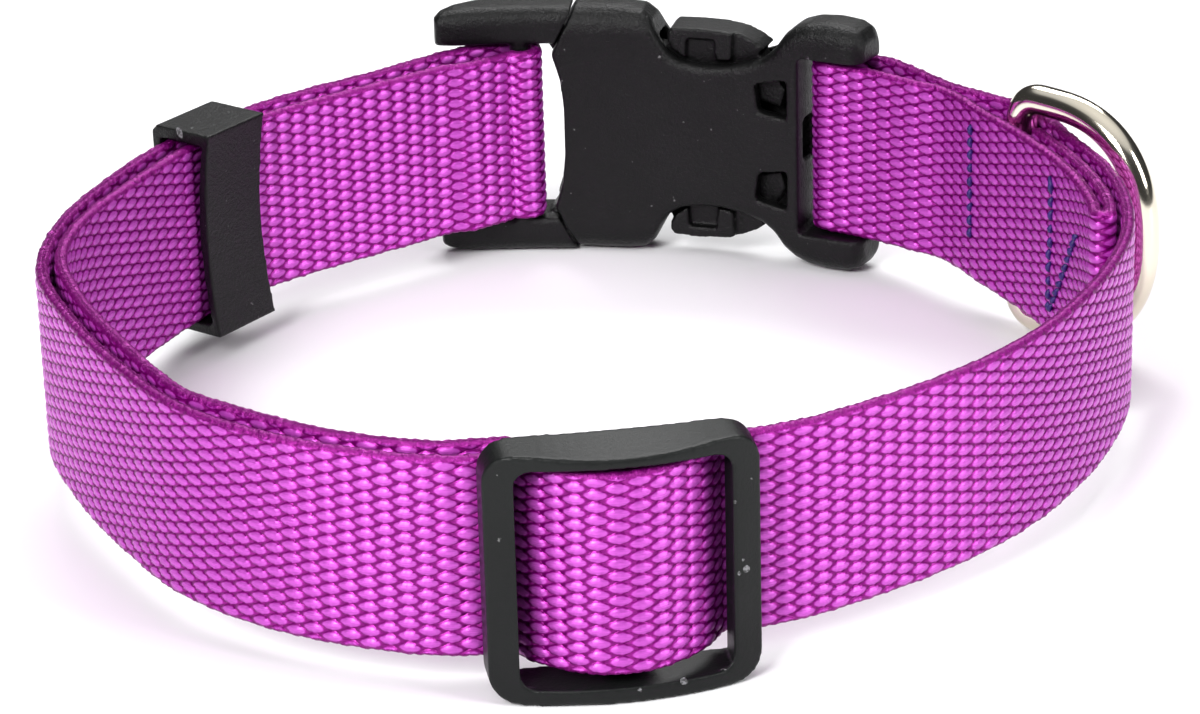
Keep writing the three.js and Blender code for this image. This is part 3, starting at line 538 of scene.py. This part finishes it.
# Moulded pieces: the CAD solids with softened edges
def moulded(node, look, voxel, passes):
    """A copy of a CAD solid, remeshed with voxels of this size in mm and smoothed this many times."""
    source = nodes[node]
    mesh = source.data.copy()
    mesh.transform(source.matrix_world)
    work = bpy.data.objects.new("work_" + node, mesh)
    bpy.context.scene.collection.objects.link(work)
    weld = work.modifiers.new("weld", "WELD")
    weld.merge_threshold = 0.004 * MM
    remesh = work.modifiers.new("remesh", "REMESH")
    remesh.mode = "VOXEL"
    remesh.voxel_size = voxel * MM
    soften = work.modifiers.new("soften", "SMOOTH")
    soften.factor = 0.5
    soften.iterations = passes
    graph = bpy.context.evaluated_depsgraph_get()
    shaped = bpy.data.meshes.new_from_object(work.evaluated_get(graph))
    bpy.data.objects.remove(work)
    shaped.materials.clear()
    shaped.materials.append(look)
    shaped.polygons.foreach_set("use_smooth", [True] * len(shaped.polygons))
    piece = bpy.data.objects.new(node + "_moulded", shaped)
    bpy.context.scene.collection.objects.link(piece)
    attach(piece, "collar")
    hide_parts(node)


moulded("slider", SATIN, 0.27, 4)
moulded("keeper", BLACK, 0.27, 3)
moulded("buckle_latch", BLACK, 0.3, 4)
moulded("buckle_socket", BLACK, 0.34, 4)

# Lead ring: the same D as the CAD solid, in a finer sweep, from the middle of its straight bar
RING_FOOT = Vector((56.33, 34.93, 17.957))
RING_HEADING = math.radians(-44.5)
RING_WIRE = 4.2
RING_HALF = (27.4 + RING_WIRE) / 2
RING_DEEP = 21.0
RING_CORNER = 3.2
RING_LEG = 6.0
RING_POWER = 2 / 2.3
CORNER_STEPS = 12
BOW_STEPS = 96
RING_STATIONS = 240
RING_SIDES = 40


def ring_line():
    points = []
    for k in range(CORNER_STEPS + 1):
        angle = math.radians(180 + 90 * k / CORNER_STEPS)
        points.append((RING_CORNER * (1 + math.cos(angle)), -RING_HALF + RING_CORNER * (1 + math.sin(angle))))
    for k in range(BOW_STEPS + 1):
        angle = math.radians(-90 + 180 * k / BOW_STEPS)
        reach = max(math.cos(angle), 0) ** RING_POWER
        rise = math.copysign(abs(math.sin(angle)) ** RING_POWER, angle)
        points.append((RING_LEG + (RING_DEEP - RING_LEG) * reach, RING_HALF * rise))
    for k in range(CORNER_STEPS + 1):
        angle = math.radians(90 + 90 * k / CORNER_STEPS)
        points.append((RING_CORNER * (1 + math.cos(angle)), RING_HALF - RING_CORNER * (1 - math.sin(angle))))
    for k in range(1, CORNER_STEPS):
        points.append((0, (RING_HALF - RING_CORNER) * (1 - 2 * k / CORNER_STEPS)))
    return np.array(points)


def signed_volume(mesh):
    total = 0.0
    for polygon in mesh.polygons:
        v = [mesh.vertices[k].co for k in polygon.vertices]
        for k in range(1, len(v) - 1):
            total += v[0].dot(v[k].cross(v[k + 1]))
    return total


def build_ring():
    path = ring_line()
    closed = np.vstack([path, path[:1]])
    length = np.concatenate([[0], np.cumsum(np.linalg.norm(np.diff(closed, axis=0), axis=1))])
    at = np.linspace(0, length[-1], RING_STATIONS, endpoint=False)
    path = np.stack([np.interp(at, length, closed[:, k]) for k in range(2)], axis=1)
    for _ in range(3):
        path = 0.5 * path + 0.25 * (np.roll(path, 1, axis=0) + np.roll(path, -1, axis=0))
    t = np.roll(path, -1, axis=0) - np.roll(path, 1, axis=0)
    t /= np.linalg.norm(t, axis=1)[:, None]
    outward = np.array([math.cos(RING_HEADING), math.sin(RING_HEADING), 0])
    sideways = np.array([-outward[1], outward[0], 0])
    up = np.array([0, 0, 1.0])
    around = len(path) * RING_SIDES
    vertices, faces = [], []
    for i, ((reach, rise), (tx, ty)) in enumerate(zip(path, t)):
        middle = np.array(RING_FOOT) + outward * reach + up * rise
        edge = outward * ty - up * tx
        for k in range(RING_SIDES):
            angle = 2 * math.pi * k / RING_SIDES
            out = edge * math.cos(angle) + sideways * math.sin(angle)
            vertices.append(((middle + out * RING_WIRE / 2) * MM).tolist())
            a, b = i * RING_SIDES + k, i * RING_SIDES + (k + 1) % RING_SIDES
            faces.append((a, (a + RING_SIDES) % around, (b + RING_SIDES) % around, b))
    piece = new_piece("lead_ring_polished", vertices, faces, NICKEL, "ring", "lead_ring")
    if signed_volume(piece.data) < 0:
        piece.data.flip_normals()


build_ring()


# Stitches, on the neck side of the innermost ply. A turn is degrees round the loop, from its front.
LOOP_MIDDLE = np.array([5.2818, 7.7222]) * MM
TURN_REACH = 0.8
THREAD_RADIUS = 0.42
THREAD_LIFT = 0.25
THREAD_ARCH = 0.34
THREAD_SINK = 0.02
STITCH = 1.9
SEAMS = [
    [(125.6, 10.4), (125.6, -7.4)],
    [(102.6, 10.2), (101.2, 9.4), (101.6, -9.4)],
    [(101.6, -9.4), (91.2, 5.8)],
]


def inner_station(turn):
    plan = line[:, :2] - LOOP_MIDDLE
    turns = np.degrees(np.arctan2(plan[:, 0], -plan[:, 1]))
    near = np.where(np.abs(turns - turn) < TURN_REACH)[0]
    return int(near[np.argmin(np.hypot(plan[near, 0], plan[near, 1]))])


def on_face(station, across, lift):
    plan = line[station, :2] - LOOP_MIDDLE
    side = -1.0 if plan @ left[station] > 0 else 1.0
    flat = line[station, :2] + left[station] * side * (FACE_LOW + THREAD_LIFT + lift) * MM
    return np.array([flat[0], flat[1], line[station, 2] + (across + WEB_WIDTH / 2) * MM])


def seam(rows):
    """Stitches along a line on the face, given as rows of turn in degrees and height across."""
    marks = []
    for (turn_a, across_a), (turn_b, across_b) in zip(rows, rows[1:]):
        a, b = inner_station(turn_a), inner_station(turn_b)
        run = math.hypot((b - a) * LINE_STEP / MM, across_b - across_a)
        count = max(int(run / 0.3), 2)
        for k in range(count):
            f = k / count
            station = int(round(a + (b - a) * f))
            marks.append((station, across_a + (across_b - across_a) * f, run * f / STITCH))
    return marks


def tube(points, radius, sides=8):
    """A thread along the points, thinner at both ends."""
    points = np.array(points)
    t = np.gradient(points, axis=0)
    t /= np.linalg.norm(t, axis=1)[:, None] + 1e-12
    one = np.cross(t, [0.31, 0.77, 0.55])
    one /= np.linalg.norm(one, axis=1)[:, None]
    two = np.cross(t, one)
    count = len(points)
    taper = np.sin(np.linspace(0.12, math.pi - 0.12, count)) ** 0.5
    vertices, faces = [], []
    for i in range(count):
        for k in range(sides):
            angle = 2 * math.pi * k / sides
            out = one[i] * math.cos(angle) + two[i] * math.sin(angle)
            vertices.append((points[i] + out * radius * taper[i] * MM).tolist())
    for i in range(count - 1):
        for k in range(sides):
            a, b = i * sides + k, i * sides + (k + 1) % sides
            faces.append((a, b, b + sides, a + sides))
    faces.append(tuple(reversed(range(sides))))
    faces.append(tuple((count - 1) * sides + k for k in range(sides)))
    return vertices, faces


def build_stitches():
    vertices, faces = [], []
    for number, rows in enumerate(SEAMS):
        marks = seam(rows)
        for cell in range(int(marks[-1][2]) + 1):
            inside = [m for m in marks if cell + 0.04 <= m[2] < cell + 0.96]
            if len(inside) < 4:
                continue
            lean = (hashed(cell, number, 2) - 0.5) * 0.5
            points = []
            for k, (station, across, _) in enumerate(inside):
                f = k / (len(inside) - 1)
                point = on_face(station, across, THREAD_ARCH * math.sin(math.pi * f) - THREAD_SINK)
                slide = (f - 0.5) * lean * MM
                point[:2] += tangent[station] * slide
                points.append(point)
            thread_points, thread_faces = tube(points, THREAD_RADIUS)
            base = len(vertices)
            vertices += thread_points
            faces += [tuple(base + k for k in face) for face in thread_faces]
    new_piece("stitches", vertices, faces, THREAD)


build_stitches()


# Small marks on the plastic: place seen in the photograph in pixels, size in mm, and the piece they lie on
MARK_LOOK = material("mark", mark_look)
MARKS = [
    {"x": 746, "y": 569, "size": 1.0, "node": "slider"},
    {"x": 743, "y": 560, "size": 0.45, "node": "slider"},
    {"x": 739, "y": 573, "size": 0.5, "node": "slider"},
    {"x": 735, "y": 502, "size": 0.4, "node": "slider"},
    {"x": 684, "y": 681, "size": 0.9, "node": "slider"},
    {"x": 640, "y": 690, "size": 0.5, "node": "slider"},
    {"x": 180, "y": 133, "size": 1.3, "node": "keeper"},
    {"x": 192, "y": 128, "size": 0.5, "node": "keeper"},
]
MARK_SIDES = 14
MARK_RIM = 0.03
MARK_CROWN = 0.07


def build_marks():
    camera = bpy.context.scene.camera
    axes = camera.matrix_world.to_3x3()
    surfaces = {}
    for name in {mark["node"] for mark in MARKS}:
        obj = nodes[name]
        points = [obj.matrix_world @ v.co for v in obj.data.vertices]
        surfaces[name] = BVHTree.FromPolygons(points, [tuple(p.vertices) for p in obj.data.polygons])
    vertices, faces = [], []
    for number, mark in enumerate(MARKS):
        across = (mark["x"] - PHOTO_WIDE / 2) / PHOTO_WIDE * SENSOR / LENS
        down = (mark["y"] - PHOTO_HIGH / 2) / PHOTO_WIDE * SENSOR / LENS
        ray = (axes @ Vector((across, -down, -1))).normalized()
        spot, normal, _, _ = surfaces[mark["node"]].ray_cast(CAMERA_AT, ray)
        if spot is None:
            continue
        one = normal.orthogonal().normalized()
        two = normal.cross(one)
        base = len(vertices)
        for k in range(MARK_SIDES):
            angle = 2 * math.pi * k / MARK_SIDES
            reach = mark["size"] / 2 * (0.6 + 0.55 * float(hashed(k // 2, number, 4)))
            out = one * math.cos(angle) * reach + two * math.sin(angle) * reach * 1.2
            vertices.append(tuple(spot + out * MM + normal * MARK_RIM * MM))
        vertices.append(tuple(spot + normal * MARK_CROWN * MM))
        crown = base + MARK_SIDES
        faces += [(base + k, base + (k + 1) % MARK_SIDES, crown) for k in range(MARK_SIDES)]
    new_piece("scuff_marks", vertices, faces, MARK_LOOK)


build_marks()


# Floor, world and lights
FLOOR_REACH = 4.0
FLOOR_LEVEL = -0.0002


def add_floor():
    mesh = bpy.data.meshes.new("floor")
    corners = [(-1, -1), (1, -1), (1, 1), (-1, 1)]
    vertices = [(x * FLOOR_REACH, y * FLOOR_REACH, FLOOR_LEVEL) for x, y in corners]
    mesh.from_pydata(vertices, [], [(0, 1, 2, 3)])
    mesh.materials.append(FLOOR)
    floor = bpy.data.objects.new("floor", mesh)
    bpy.context.scene.collection.objects.link(floor)


def add_world():
    """Bright overhead and dark low down, so that the plastic's upright faces stay dark."""
    world = bpy.data.worlds.new("studio")
    bpy.context.scene.world = world
    world.use_nodes = True
    tree = world.node_tree
    tree.nodes.clear()
    place = tree.nodes.new("ShaderNodeTexCoord")
    split = tree.nodes.new("ShaderNodeSeparateXYZ")
    tree.links.new(place.outputs["Generated"], split.inputs["Vector"])
    sky = [
        (0.5, (0.05, 0.05, 0.052)),
        (0.66, (0.10, 0.10, 0.105)),
        (0.76, (0.75, 0.75, 0.76)),
        (1.0, (1.25, 1.25, 1.25)),
    ]
    colour = ramp(tree, split.outputs["Z"], sky)
    light = tree.nodes.new("ShaderNodeBackground")
    light.inputs["Strength"].default_value = 0.85
    tree.links.new(colour, light.inputs["Color"])
    out = tree.nodes.new("ShaderNodeOutputWorld")
    tree.links.new(light.outputs["Background"], out.inputs["Surface"])


def softbox(name, at, target, size, power):
    data = bpy.data.lights.new(name, "AREA")
    data.shape = "RECTANGLE"
    data.size, data.size_y = size
    data.energy = power
    lamp = bpy.data.objects.new(name, data)
    lamp.location = at
    lamp.rotation_euler = (Vector(target) - Vector(at)).to_track_quat("-Z", "Y").to_euler()
    bpy.context.scene.collection.objects.link(lamp)


add_floor()
add_world()
softbox("key", (-0.45, -0.75, 0.62), (0, 0, 0.02), (0.4, 0.4), 12.0)
softbox("fill", (0.8, -0.45, 0.5), (0, 0, 0.02), (0.3, 0.5), 6.0)
softbox("rear", (0.1, 0.75, 0.8), (0, 0, 0.02), (0.8, 0.4), 8.0)
bpy.context.scene.view_settings.view_transform = "Standard"
